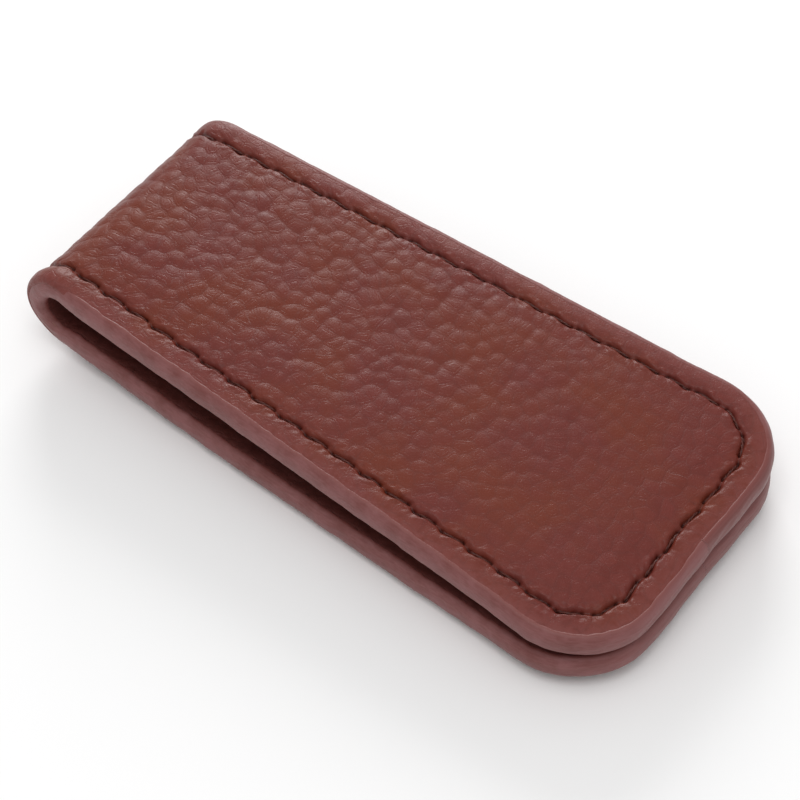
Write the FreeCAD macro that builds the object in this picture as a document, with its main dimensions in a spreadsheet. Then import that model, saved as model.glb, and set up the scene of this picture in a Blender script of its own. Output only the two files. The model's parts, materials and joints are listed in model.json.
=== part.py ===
# Magnetic money clip: one padded leather strip folded in a U, with magnets in its two tips.
#
# Frame: +X along the clip from the fold to the tips, +Y across it, +Z up, millimetres.
# Origin: centre of the bounding box in X and Y, on the surface that the clip lies on.
# The lower leg is bowed and rests on a short flat belly; the upper leg is nearly straight and
# comes down to it at the tips. The strip bends at the fold, so the fold is built as two segments
# between three hinge planes, which all pass through the axis of the fold. Each hinge line lies in
# the outer leather face, so that the segments part on the inside of the fold as the clip opens.

import FreeCAD, Part
import Sketcher
import math
import os

Vector = FreeCAD.Vector
Rotation = FreeCAD.Rotation
Placement = FreeCAD.Placement

X_AXIS = Vector(1, 0, 0)
Y_AXIS = Vector(0, 1, 0)
Z_AXIS = Vector(0, 0, 1)

SIZES = {
    "total_length": "81.5",
    "tip_width": "40",
    "fold_width": "31.5",
    "tip_corner_radius": "10",
    "fold_outer_radius": "5.25",
    "fold_segments": "2",
    "belly_length": "12",
    "belly_centre": "3",
    "bow_radius": "390",
    "upper_slope": "2.4",
    "upper_bow_radius": "4000",
    "cover_thickness": "0.9",
    "padding_thickness": "0.4",
    "board_thickness": "1",
    "lining_thickness": "0.8",
    "paint_thickness": "0.3",
    "padding_inset": "4.6",
    "padding_setback": "4",
    "stitch_inset": "3.5",
    "stitch_pitch": "3.76",
    "stitch_length": "2.7",
    "fold_stitches": "4",
    "fold_stitch_angle": "28",
    "groove_width": "0.9",
    "groove_depth": "0.55",
    "lining_groove_depth": "0.45",
    "needle_thread_diameter": "0.5",
    "bobbin_thread_diameter": "0.4",
    "magnet_diameter": "10",
    "magnet_thickness": "0.9",
    "magnet_clearance": "0.1",
    "magnet_spacing": "15",
    "magnet_setback": "13",
    "overrun": "8",
    "tool_height": "40",
    "tool_width": "60",
}

doc = FreeCAD.newDocument("MoneyClip")


def fill_sheet():
    sheet = doc.addObject("Spreadsheet::Sheet", "Sizes")
    for row, (alias, value) in enumerate(SIZES.items(), start=1):
        sheet.set("A%d" % row, alias)
        sheet.set("B%d" % row, value)
        sheet.setAlias("B%d" % row, alias)
    doc.recompute()
    return sheet


sheet = fill_sheet()


def size(alias):
    return float(sheet.get(alias))


# Sizes that follow from the sheet, both as expressions and as numbers.
HALF_LENGTH = "Sizes.total_length / 2"
BELLY_START = "Sizes.belly_centre - Sizes.belly_length / 2"
FOLD_AXIS_X = "Sizes.fold_outer_radius - Sizes.total_length / 2"
LEG_THICKNESS = (
    "Sizes.cover_thickness + Sizes.padding_thickness"
    " + Sizes.board_thickness + Sizes.lining_thickness"
)
BOW_ANGLE = "asin((%s - (%s)) / (Sizes.bow_radius - Sizes.fold_outer_radius))" % (
    BELLY_START,
    FOLD_AXIS_X,
)

half_length = size("total_length") / 2
belly_start = size("belly_centre") - size("belly_length") / 2
belly_end = belly_start + size("belly_length")
bow_radius = size("bow_radius")
fold_radius = size("fold_outer_radius")
leg_thickness = (
    size("cover_thickness")
    + size("padding_thickness")
    + size("board_thickness")
    + size("lining_thickness")
)
fold_x = fold_radius - half_length
bow_angle = math.asin((belly_start - fold_x) / (bow_radius - fold_radius))
fold_z = bow_radius - (bow_radius - fold_radius) * math.cos(bow_angle)
upper_slope = math.radians(size("upper_slope"))
upper_bow_radius = size("upper_bow_radius")
taper_angle = math.atan((size("tip_width") - size("fold_width")) / 2 / size("total_length"))
segment_count = int(size("fold_segments"))
segment_angle = (math.pi - bow_angle + upper_slope) / segment_count
fold_axis = Vector(fold_x, 0, fold_z)
upper_bow_centre = fold_axis - Vector(math.sin(upper_slope), 0, math.cos(upper_slope)) * (
    upper_bow_radius - fold_radius
)


def bind(item, prop, expression):
    item.setExpression(prop, expression)


def constrain(sketch, name, constraint, expression):
    index = sketch.addConstraint(constraint)
    sketch.renameConstraint(index, name)
    bind(sketch, "Constraints." + name, expression)


# ---------------------------------------------------------------- side profile and plan outline

TIP_ARC, BELLY, FOLD_ARC, FOLD, TOP = range(5)
START, END, CENTRE = 1, 2, 3
ORIGIN, ORIGIN_POINT = -1, 1


def outer_path(name, shown):
    """The outer face of the strip seen from the side; only the stretches in shown are solid."""
    sketch = doc.addObject("Sketcher::SketchObject", name)
    sketch.Placement = Placement(Vector(), Rotation(X_AXIS, 90))
    reach = half_length + size("overrun")
    quarter = math.pi / 2

    def arc(x, z, radius, first, last):
        return Part.ArcOfCircle(Part.Circle(Vector(x, z, 0), Z_AXIS, radius), first, last)

    top = upper_bow_centre
    top_angle = math.asin((reach - top.x) / upper_bow_radius)
    tip_angle = math.asin((reach - belly_end) / bow_radius)
    stretches = [
        arc(belly_end, bow_radius, bow_radius, -quarter, tip_angle - quarter),
        Part.LineSegment(Vector(belly_start, 0, 0), Vector(belly_end, 0, 0)),
        arc(belly_start, bow_radius, bow_radius, -quarter - bow_angle, -quarter),
        arc(fold_x, fold_z, fold_radius, quarter - upper_slope, 3 * quarter - bow_angle),
        arc(top.x, top.z, upper_bow_radius, quarter - top_angle, quarter - upper_slope),
    ]
    for index, stretch in enumerate(stretches):
        sketch.addGeometry(stretch, index not in shown)

    rule = Sketcher.Constraint
    sketch.addConstraint(rule("Tangent", BELLY, END, TIP_ARC, START))
    sketch.addConstraint(rule("Tangent", BELLY, START, FOLD_ARC, END))
    sketch.addConstraint(rule("Tangent", FOLD_ARC, START, FOLD, END))
    sketch.addConstraint(rule("Tangent", TOP, END, FOLD, START))
    sketch.addConstraint(rule("PointOnObject", BELLY, START, ORIGIN))
    sketch.addConstraint(rule("Horizontal", BELLY))
    sketch.addConstraint(rule("Equal", TIP_ARC, FOLD_ARC))
    constrain(sketch, "bow", rule("Radius", FOLD_ARC, bow_radius), "Sizes.bow_radius")
    constrain(sketch, "turn", rule("Radius", FOLD, fold_radius), "Sizes.fold_outer_radius")
    constrain(
        sketch,
        "belly_start",
        rule("DistanceX", ORIGIN, ORIGIN_POINT, BELLY, START, belly_start),
        BELLY_START,
    )
    constrain(
        sketch,
        "belly",
        rule("DistanceX", BELLY, START, BELLY, END, size("belly_length")),
        "Sizes.belly_length",
    )
    constrain(
        sketch,
        "fold_axis",
        rule("DistanceX", ORIGIN, ORIGIN_POINT, FOLD, CENTRE, fold_x),
        FOLD_AXIS_X,
    )
    constrain(
        sketch,
        "upper_bow",
        rule("Radius", TOP, upper_bow_radius),
        "Sizes.upper_bow_radius",
    )
    constrain(
        sketch,
        "upper_axis",
        rule("DistanceX", TOP, CENTRE, FOLD, CENTRE, fold_x - top.x),
        "(Sizes.upper_bow_radius - Sizes.fold_outer_radius) * sin(Sizes.upper_slope * 1 deg)",
    )
    for end_name, stretch, end in (("top_reach", TOP, START), ("tip_reach", TIP_ARC, END)):
        constrain(
            sketch,
            end_name,
            rule("DistanceX", ORIGIN, ORIGIN_POINT, stretch, end, reach),
            HALF_LENGTH + " + Sizes.overrun",
        )
    return sketch


def plan_outline():
    """The strip seen from above: tapered to the fold, with round corners at the tips."""
    near, near_corner, tip, far_corner, far, back = range(6)
    radius = size("tip_corner_radius")
    rear_x = -half_length - size("overrun")
    slope = math.tan(taper_angle)
    rear_y = size("fold_width") / 2 - size("overrun") * slope
    corner = Vector(half_length - radius, 0, 0)
    corner.y = rear_y + (corner.x - rear_x) * slope - radius / math.cos(taper_angle)
    side_end = corner + Vector(-math.sin(taper_angle), math.cos(taper_angle), 0) * radius
    quarter = math.pi / 2

    def mirrored(point):
        return Vector(point.x, -point.y, 0)

    def arc(centre, first, last):
        return Part.ArcOfCircle(Part.Circle(centre, Z_AXIS, radius), first, last)

    sketch = doc.addObject("Sketcher::SketchObject", "plan_outline")
    sketch.Placement = Placement(Z_AXIS * (-size("tool_height") / 2), Rotation())
    outline = [
        Part.LineSegment(Vector(rear_x, -rear_y, 0), mirrored(side_end)),
        arc(mirrored(corner), -quarter - taper_angle, 0),
        Part.LineSegment(Vector(half_length, -corner.y, 0), Vector(half_length, corner.y, 0)),
        arc(corner, 0, quarter + taper_angle),
        Part.LineSegment(side_end, Vector(rear_x, rear_y, 0)),
        Part.LineSegment(Vector(rear_x, rear_y, 0), Vector(rear_x, -rear_y, 0)),
    ]
    for piece in outline:
        sketch.addGeometry(piece, False)

    rule = Sketcher.Constraint
    for first, second in ((near, near_corner), (near_corner, tip), (tip, far_corner), (far_corner, far)):
        sketch.addConstraint(rule("Tangent", first, END, second, START))
    sketch.addConstraint(rule("Coincident", far, END, back, START))
    sketch.addConstraint(rule("Coincident", back, END, near, START))
    sketch.addConstraint(rule("Symmetric", near, START, far, END, ORIGIN))
    sketch.addConstraint(rule("Vertical", tip))
    sketch.addConstraint(rule("Equal", near_corner, far_corner))
    constrain(sketch, "corner", rule("Radius", near_corner, radius), "Sizes.tip_corner_radius")
    half_taper = "(Sizes.tip_width - Sizes.fold_width) / 2 / Sizes.total_length"
    constrain(sketch, "taper_near", rule("Angle", near, -taper_angle), "-atan(%s)" % half_taper)
    constrain(
        sketch,
        "taper_far",
        rule("Angle", far, math.pi + taper_angle),
        "180 deg + atan(%s)" % half_taper,
    )
    constrain(
        sketch,
        "tip_line",
        rule("DistanceX", ORIGIN, ORIGIN_POINT, tip, START, half_length),
        HALF_LENGTH,
    )
    constrain(
        sketch,
        "rear_line",
        rule("DistanceX", ORIGIN, ORIGIN_POINT, near, START, rear_x),
        "-(%s) - Sizes.overrun" % HALF_LENGTH,
    )
    constrain(
        sketch,
        "rear_width",
        rule("DistanceY", near, START, far, END, 2 * rear_y),
        "Sizes.fold_width - 2 * Sizes.overrun * %s" % half_taper,
    )
    return sketch


# ---------------------------------------------------------------- tools shared by the sub-parts


def skin(path, name, thickness):
    """The strip from its outer face down to thickness, as wide as the tools are."""
    side = doc.addObject("Part::Offset2D", "%s_%s_side" % (path.Name, name))
    side.Source = path
    side.Mode = "Skin"
    side.Fill = True
    bind(side, "Value", thickness)
    block = doc.addObject("Part::Extrusion", "%s_%s" % (path.Name, name))
    block.Base = side
    block.DirMode = "Custom"
    block.Dir = Y_AXIS
    block.Symmetric = True
    block.Solid = True
    bind(block, "LengthFwd", "Sizes.tool_width")
    return block


def band(path, name, depth, thickness):
    """A layer of the strip: from depth to depth + thickness under its outer face."""
    below = skin(path, name + "_band", "%s + %s" % (depth, thickness) if depth else thickness)
    if not depth:
        return below
    return cut("%s_%s_layer" % (path.Name, name), below, skin(path, name + "_above", depth))


def prism(outline, name, inset):
    """The upright block inside the plan outline, drawn in by inset."""
    source = outline
    if inset:
        source = doc.addObject("Part::Offset2D", name + "_outline")
        source.Source = outline
        bind(source, "Value", "-(%s)" % inset)
    block = doc.addObject("Part::Extrusion", name)
    block.Base = source
    block.DirMode = "Custom"
    block.Dir = Z_AXIS
    block.Solid = True
    bind(block, "LengthFwd", "Sizes.tool_height")
    return block


def common(name, *items):
    result = doc.addObject("Part::MultiCommon", name)
    result.Shapes = list(items)
    return result


def cut(name, base, *tools):
    """Base less every tool, one cut after another; the last cut has the name."""
    for index, tool in enumerate(tools):
        last = index == len(tools) - 1
        result = doc.addObject("Part::Cut", name if last else "%s_cut_%d" % (name, index + 1))
        result.Base = base
        result.Tool = tool
        base = result
    return base


nodes = []


def keep(item, label):
    item.Label = label
    nodes.append(item)
    return item


outline = plan_outline()
whole_prism = prism(outline, "whole_prism", "")
leather_prism = prism(outline, "leather_prism", "Sizes.paint_thickness")
padding_prism = prism(outline, "padding_prism", "Sizes.padding_inset")
groove_outside = prism(outline, "groove_outside", "Sizes.stitch_inset - Sizes.groove_width / 2")
groove_inside = prism(outline, "groove_inside", "Sizes.stitch_inset + Sizes.groove_width / 2")
rim = cut("rim", whole_prism, leather_prism)
groove_ring = cut("groove_ring", groove_outside, groove_inside)

COVER_DEPTH = "Sizes.cover_thickness + Sizes.padding_thickness"
LINING_DEPTH = COVER_DEPTH + " + Sizes.board_thickness"


def layers(path):
    """Every layer of one stretch of the strip, before magnets and padding are let in."""
    name = path.Name
    needle_groove = common(
        name + "_needle_groove",
        band(path, "needle", "", "Sizes.groove_depth"),
        groove_ring,
    )
    bobbin_groove = common(
        name + "_bobbin_groove",
        band(
            path,
            "bobbin",
            LEG_THICKNESS + " - Sizes.lining_groove_depth",
            "Sizes.lining_groove_depth",
        ),
        groove_ring,
    )
    cover = common(name + "_cover_blank", band(path, "cover", "", COVER_DEPTH), leather_prism)
    lining = common(
        name + "_lining_blank",
        band(path, "lining", LINING_DEPTH, "Sizes.lining_thickness"),
        leather_prism,
    )
    return {
        "cover": cut(name + "_cover_grooved", cover, needle_groove),
        "core": common(
            name + "_core",
            band(path, "core", COVER_DEPTH, "Sizes.board_thickness"),
            leather_prism,
        ),
        "lining": cut(name + "_lining_grooved", lining, bobbin_groove),
        "edge_paint": common(name + "_edge_paint", band(path, "whole", "", LEG_THICKNESS), rim),
    }


# ---------------------------------------------------------------- places on the strip


class Leg:
    """The outer face of one leg as a height and a slope over X."""

    def __init__(self, name, inward):
        self.name = name
        self.inward = inward

    def slope(self, x):
        if self.name == "upper":
            return -math.asin((x - upper_bow_centre.x) / upper_bow_radius)
        if x < belly_start:
            return math.asin((x - belly_start) / bow_radius)
        if x > belly_end:
            return math.asin((x - belly_end) / bow_radius)
        return 0.0

    def height(self, x):
        if self.name == "upper":
            return upper_bow_centre.z + upper_bow_radius * math.cos(self.slope(x))
        return bow_radius * (1 - math.cos(self.slope(x)))

    def normal(self, x):
        """Unit vector into the strip."""
        slope = self.slope(x)
        return Vector(-math.sin(slope), 0, math.cos(slope)) * self.inward

    def point(self, x, y, depth):
        return Vector(x, y, self.height(x)) + self.normal(x) * depth


def side_y(x, inset):
    """Half the width between two lines that lie inset from the sides, at x."""
    half_width = size("tip_width") / 2 - (half_length - x) * math.tan(taper_angle)
    return half_width - inset / math.cos(taper_angle)


class StitchLine:
    """The U of stitches in one leg, seen from above, from the near side of the fold round the tip."""

    def __init__(self, first_x):
        inset = size("stitch_inset")
        self.radius = size("tip_corner_radius") - inset
        self.tip_x = half_length - inset
        self.centre_x = self.tip_x - self.radius
        rear_y = side_y(self.centre_x, inset)
        self.centre_y = rear_y - self.radius / math.cos(taper_angle)
        self.side_x = self.centre_x - self.radius * math.sin(taper_angle)
        self.first_x = first_x
        self.inset = inset
        self.side = (self.side_x - first_x) / math.cos(taper_angle)
        self.corner = self.radius * (math.pi / 2 + taper_angle)
        self.length = 2 * (self.side + self.corner + self.centre_y)

    def place(self, distance):
        """Point (x, y) and heading at a distance along the line."""
        if distance > self.length / 2:
            x, y, heading = self.place(self.length - distance)
            return x, -y, math.pi - heading
        if distance <= self.side:
            x = self.first_x + distance * math.cos(taper_angle)
            return x, -side_y(x, self.inset), -taper_angle
        distance -= self.side
        if distance <= self.corner:
            heading = distance / self.radius - taper_angle
            x = self.centre_x + self.radius * math.sin(heading)
            return x, -self.centre_y - self.radius * math.cos(heading), heading
        return self.tip_x, -self.centre_y + distance - self.corner, math.pi / 2


def leg_stitches(leg, depth, diameter, length):
    """One stitch after another round a leg, each a short rod that lies along the groove."""
    line = StitchLine(fold_x)
    count = 2 * round(line.length / size("stitch_pitch") / 2)
    pitch = line.length / count
    stitches = []
    for index in range(count):
        x, y, heading = line.place((index + 0.5) * pitch)
        along = Vector(math.cos(heading), math.sin(heading), 0)
        along.z = along.x * math.tan(leg.slope(x))
        along.normalize()
        start = leg.point(x, y, depth) - along * (length / 2)
        stitches.append(Part.makeCylinder(diameter / 2, length, start, along))
    return Part.makeCompound(stitches)


def fold_stitches(number, radius, diameter):
    """The stitches of one fold segment: bent rods on the fold axis, at both sides."""
    angle = size("fold_stitch_angle")
    count = int(size("fold_stitches")) // segment_count
    stitches = []
    for index in range(count):
        middle = bow_angle + (number - 1 + (index + 0.5) / count) * segment_angle
        x = fold_x - radius * math.sin(middle)
        turn = Rotation(Y_AXIS, 90 + math.degrees(middle) - angle / 2) * Rotation(X_AXIS, -90)
        for side in (-1, 1):
            centre = Vector(fold_x, side * side_y(x, size("stitch_inset")), fold_z)
            ring = Part.makeTorus(radius, diameter / 2, Vector(), Z_AXIS, -180, 180, angle)
            ring.Placement = Placement(centre, turn)
            stitches.append(ring)
    return Part.makeCompound(stitches)


def thread(label, shape):
    item = doc.addObject("Part::Feature", label)
    item.Shape = shape
    item.Placement = Placement()
    return keep(item, label)


# ---------------------------------------------------------------- the two legs

MAGNET_RADIUS = "Sizes.magnet_diameter / 2"
WINDOW_RADIUS = "Sizes.magnet_diameter / 2 + Sizes.magnet_clearance"
WINDOW_FACTOR = 3


def magnet(leg, side, role, radius, factor):
    """A disc in the middle of the board: the magnet, or the window cut through for it."""
    x = half_length - size("magnet_setback")
    item = doc.addObject("Part::Cylinder", "%s_%s_%s" % (leg.name, role, side))
    bind(item, "Radius", radius)
    bind(item, "Height", "%d * Sizes.magnet_thickness" % factor)
    sign = -1 if side == "right" else 1
    middle = size("cover_thickness") + size("padding_thickness") + size("board_thickness") / 2
    lowest = middle - factor * size("magnet_thickness") / 2
    centre = leg.point(x, sign * size("magnet_spacing") / 2, lowest)
    item.Placement = Placement(centre, Rotation(Z_AXIS, leg.normal(x)))
    return item


def build_leg(leg, path):
    layer = layers(path)
    name = leg.name
    inner_end = doc.addObject("Part::Box", name + "_padding_reach")
    bind(inner_end, "Length", "Sizes.total_length")
    bind(inner_end, "Width", "Sizes.tool_width")
    bind(inner_end, "Height", "Sizes.tool_height")
    inner_end.Placement = Placement(
        Vector(fold_x + size("padding_setback"), -size("tool_width") / 2, -size("tool_height") / 2),
        Rotation(),
    )
    pad = common(
        name + "_pad",
        band(path, "padding", "Sizes.cover_thickness", "Sizes.padding_thickness"),
        padding_prism,
        inner_end,
    )
    keep(cut(name + "_outer", layer["cover"], pad), name + "_cover")
    keep(pad, name + "_padding")
    windows = [magnet(leg, side, "window", WINDOW_RADIUS, WINDOW_FACTOR) for side in ("left", "right")]
    keep(cut(name + "_stiffener", layer["core"], *windows), name + "_board")
    for side in ("left", "right"):
        keep(magnet(leg, side, "magnet", MAGNET_RADIUS, 1), "%s_magnet_%s" % (name, side))
    keep(layer["lining"], name + "_lining")
    keep(layer["edge_paint"], name + "_edge_paint")
    needle = size("needle_thread_diameter")
    bobbin = size("bobbin_thread_diameter")
    needle_depth = size("groove_depth") - needle / 2
    bobbin_depth = leg_thickness - size("lining_groove_depth") + bobbin / 2
    length = size("stitch_length")
    thread(name + "_needle_thread", leg_stitches(leg, needle_depth, needle, length))
    thread(name + "_bobbin_thread", leg_stitches(leg, bobbin_depth, bobbin, length))


# ---------------------------------------------------------------- the fold


def sector(number):
    """The wedge between two neighbouring hinge planes, with its edge on the fold axis."""
    wedge = doc.addObject("Part::Cylinder", "fold_%d_sector" % number)
    bind(wedge, "Radius", "Sizes.fold_outer_radius * 2")
    bind(wedge, "Height", "Sizes.tool_width")
    bind(
        wedge,
        "Angle",
        "(180 deg - %s + Sizes.upper_slope * 1 deg) / Sizes.fold_segments" % BOW_ANGLE,
    )
    first = bow_angle + (number - 1) * segment_angle
    start = fold_axis - Y_AXIS * (size("tool_width") / 2)
    turn = Rotation(Y_AXIS, 90 + math.degrees(first)) * Rotation(X_AXIS, -90)
    wedge.Placement = Placement(start, turn)
    return wedge


def build_fold(path):
    layer = layers(path)
    needle = size("needle_thread_diameter")
    bobbin = size("bobbin_thread_diameter")
    needle_radius = fold_radius - size("groove_depth") + needle / 2
    inner_radius = fold_radius - leg_thickness
    bobbin_radius = inner_radius + size("lining_groove_depth") - bobbin / 2
    names = {"cover": "cover", "core": "filler", "lining": "lining", "edge_paint": "edge_paint"}
    for number in range(1, segment_count + 1):
        wedge = sector(number)
        for role, word in names.items():
            label = "fold_%d_%s" % (number, word)
            keep(common(label + "_solid", layer[role], wedge), label)
        prefix = "fold_%d_" % number
        thread(prefix + "needle_thread", fold_stitches(number, needle_radius, needle))
        thread(prefix + "bobbin_thread", fold_stitches(number, bobbin_radius, bobbin))


build_leg(Leg("lower", 1), outer_path("lower_path", (TIP_ARC, BELLY, FOLD_ARC)))
build_fold(outer_path("fold_path", (FOLD,)))
build_leg(Leg("upper", -1), outer_path("upper_path", (TOP,)))
doc.recompute()


# ---------------------------------------------------------------- checks and files


def faults():
    found = []
    for item in doc.Objects:
        if "Invalid" in item.State or "Error" in item.State:
            found.append("%s is %s" % (item.Label, item.State))
    for item in nodes:
        shape = item.Shape
        if shape.isNull() or not shape.isValid() or not shape.Solids:
            found.append("%s has no valid solid" % item.Label)
    return found


for fault in faults():
    print("FAULT", fault)
if faults():
    raise SystemExit(1)

os.makedirs("parts", exist_ok=True)
for item in nodes:
    item.Shape.exportStep("parts/%s.step" % item.Label)
    print("%-24s %2d solids %10.3f mm3" % (item.Label, len(item.Shape.Solids), item.Shape.Volume))

print("fold axis at x %.4f z %.4f" % (fold_x, fold_z))
for number in range(segment_count + 1):
    angle = bow_angle + number * segment_angle
    x = fold_x - fold_radius * math.sin(angle)
    z = fold_z - fold_radius * math.cos(angle)
    print("hinge %d at x %.4f z %.4f" % (number + 1, x, z))
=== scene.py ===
# Looks of a magnetic leather money clip: a padded strip of pebble-grain leather, folded in a U,
# sewn round its border and finished with a painted edge.
#
# The strip is drawn flat first. s runs along its outer face, from the lower tip (negative) over the
# fold (0 to fold_run) to the upper tip, y runs across it, and depth runs into the leather. place()
# bends that flat strip onto the frame. Lengths are in millimetres until a mesh is made.

import json
import math

import bpy
import numpy as np
from mathutils import Matrix, Vector


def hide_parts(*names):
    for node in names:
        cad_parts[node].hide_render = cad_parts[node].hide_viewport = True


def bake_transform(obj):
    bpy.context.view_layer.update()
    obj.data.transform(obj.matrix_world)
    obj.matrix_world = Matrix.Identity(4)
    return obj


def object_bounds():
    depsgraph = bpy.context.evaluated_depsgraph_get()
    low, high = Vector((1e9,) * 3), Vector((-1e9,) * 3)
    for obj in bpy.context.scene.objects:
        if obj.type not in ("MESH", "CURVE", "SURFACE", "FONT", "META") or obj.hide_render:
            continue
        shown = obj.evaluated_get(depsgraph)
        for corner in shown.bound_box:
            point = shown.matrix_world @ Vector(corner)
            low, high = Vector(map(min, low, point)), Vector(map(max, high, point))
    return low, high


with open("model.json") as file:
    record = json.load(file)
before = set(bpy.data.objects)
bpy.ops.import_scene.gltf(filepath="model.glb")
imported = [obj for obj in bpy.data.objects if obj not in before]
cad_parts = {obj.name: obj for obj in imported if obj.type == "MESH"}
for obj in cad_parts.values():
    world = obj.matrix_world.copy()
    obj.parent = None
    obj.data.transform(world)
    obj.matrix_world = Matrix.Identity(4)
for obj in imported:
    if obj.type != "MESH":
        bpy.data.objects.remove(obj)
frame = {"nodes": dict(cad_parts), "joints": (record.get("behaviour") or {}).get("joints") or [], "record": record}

MM = 0.001
cad_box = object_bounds()

# ---------------------------------------------------------------- sizes, mm

TIP_WIDTH = 40.0
FOLD_WIDTH = 31.5
CORNER_RADIUS = 10.0
BELLY_LENGTH = 12.0
UPPER_RADIUS = 4000.0

STITCH_INSET = 3.5
STITCH_PITCH = 3.76
STITCH_HALF = 1.35
SLANT = 0.17
FOLD_STITCHES = 4
FOLD_STITCH_HALF = math.radians(14)

OUTER_FACE = -0.06
INNER_FACE = 3.18
EDGE_ROLL = 1.25
EDGE_POWER = 2.3
COVER_BACK = 0.85
LINING_BACK = 2.4

# How much thinner the inner layers are round the fold, and the run over which that comes in, outside
# and inside each end of the fold.
FOLD_THINNING = 0.62
THINNED_OUTSIDE, THINNED_INSIDE = 4.0, 3.0

# The border rises in a saddle over the fold, more on the near side, with a dip beside the rise.
NEAR_SADDLE, FAR_SADDLE, SADDLE_DIP = 0.40, 0.10, 0.12

# How far the border swells outwards in the middle of the fold and at the corners, the share of the
# corner's swelling that the straight borders beside it take, and the run over which they take it.
FOLD_FLARE, CORNER_FLARE = 0.35, 0.30
SIDE_SHARE, ARC_SHARE, ARC_SWEEP = 0.35, 0.65, 1.93
SIDE_FLARE_RUN, TIP_FLARE_RUN = 5, 6

# Depth and width of the sewn groove, and how deep and thick the threads lie in it.
COVER_GROOVE, COVER_GROOVE_WIDTH = 0.46, 0.19
LINING_GROOVE, LINING_GROOVE_WIDTH = 0.26, 0.21
NEEDLE_SINK, NEEDLE_RADIUS = 0.37, 0.19
BOBBIN_SINK, BOBBIN_RADIUS = 0.16, 0.18
FULL_PHASE = 1.39  # the phase half-way to the next stitch
DOME_SHARPNESS = 12.0

# ---------------------------------------------------------------- the strip's line, from the frame

hinges = [np.array(joint["pos_m"]) / MM for joint in frame["joints"]]
rest_point = np.array(frame["record"]["mounts"][0]["pos_m"]) / MM
half_length = cad_box[1].x / MM
taper = math.atan((TIP_WIDTH - FOLD_WIDTH) / 2 / (2 * half_length))


def circle_through(points):
    """Centre and radius, in the XZ plane, of the circle through three points."""
    first, second, third = [np.array((p[0], p[2])) for p in points]
    rows = 2 * np.array((second - first, third - first))
    values = np.array((second @ second - first @ first, third @ third - first @ first))
    centre = np.linalg.solve(rows, values)
    return centre, float(np.linalg.norm(first - centre))


fold_centre, fold_radius = circle_through(hinges)
start_angle = math.atan2(fold_centre[0] - hinges[0][0], fold_centre[1] - hinges[0][2])
end_angle = math.atan2(fold_centre[0] - hinges[2][0], fold_centre[1] - hinges[2][2]) % (2 * math.pi)
fold_run = fold_radius * (end_angle - start_angle)
belly_start = rest_point[0] - BELLY_LENGTH / 2
belly_end = rest_point[0] + BELLY_LENGTH / 2
bow_radius = (belly_start - hinges[0][0]) / math.sin(start_angle)
upper_centre = fold_centre + np.array((math.sin(end_angle), math.cos(end_angle))) * (
    UPPER_RADIUS - fold_radius
)


def station(s):
    """Point (x, z) of the outer face at s, and the angle of the normal that points into the strip."""
    x_lower = hinges[0][0] - s
    bow = (x_lower - np.clip(x_lower, belly_start, belly_end)) / bow_radius
    lower_angle = -np.arcsin(np.clip(bow, -1, 1))
    lower_z = bow_radius * (1 - np.cos(lower_angle))
    x_upper = hinges[2][0] + s - fold_run
    lean = np.arcsin((x_upper - upper_centre[0]) / UPPER_RADIUS)
    upper_angle = math.pi + lean
    upper_z = upper_centre[1] + UPPER_RADIUS * np.cos(lean)
    angle = start_angle + s / fold_radius
    fold_x = fold_centre[0] - fold_radius * np.sin(angle)
    fold_z = fold_centre[1] - fold_radius * np.cos(angle)
    on_lower, on_upper = s < 0, s > fold_run
    x = np.where(on_lower, x_lower, np.where(on_upper, x_upper, fold_x))
    z = np.where(on_lower, lower_z, np.where(on_upper, upper_z, fold_z))
    turn = np.where(on_lower, lower_angle, np.where(on_upper, upper_angle, angle))
    return x, z, turn


def thinned(s, depth):
    """Depth in the strip, whose inner layers are skived thinner round the fold."""
    starts = smooth(s, -THINNED_OUTSIDE, THINNED_INSIDE)
    window = starts * (1 - smooth(s, fold_run - THINNED_INSIDE, fold_run + THINNED_OUTSIDE))
    share = np.clip((depth - COVER_BACK) / (INNER_FACE - COVER_BACK), 0, 1)
    return depth - FOLD_THINNING * window * share


def place(s, y, depth):
    """The strip's points in the row frame, in mm, as an (n, 3) array."""
    x, z, turn = station(s)
    depth = thinned(s, depth)
    return np.stack((x + depth * np.sin(turn), y + 0 * s, z + depth * np.cos(turn)), axis=-1)


def half_width(x):
    return TIP_WIDTH / 2 - (half_length - x) * math.tan(taper)


def smooth(value, low, high):
    t = np.clip((value - low) / (high - low), 0, 1)
    return t * t * (3 - 2 * t)


# ---------------------------------------------------------------- columns along the strip's border


class Columns:
    """Feet of the columns on the near border, and how each one runs to the spine at y = 0.

    s, y: the foot. along, across: the step into the strip for each mm of inset. spine: where the
    column ends. phase: -1 to 1 within a stitch, beyond that between two stitches. ghost: true for
    the columns beyond a cut end, which only serve the normals there.
    """

    def __init__(self, s, y, along, across, spine, phase):
        self.s, self.y, self.along, self.across = s, y, along, across
        self.spine, self.phase = spine, phase
        self.ghost = np.zeros(len(s), bool)

    def arrays(self):
        return self.s, self.y, self.along, self.across, self.spine, self.phase

    def joined(self, other):
        return Columns(*(np.concatenate(pair) for pair in zip(self.arrays(), other.arrays())))

    def without_last(self, count):
        return Columns(*(array[:-count] for array in self.arrays()))


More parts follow.
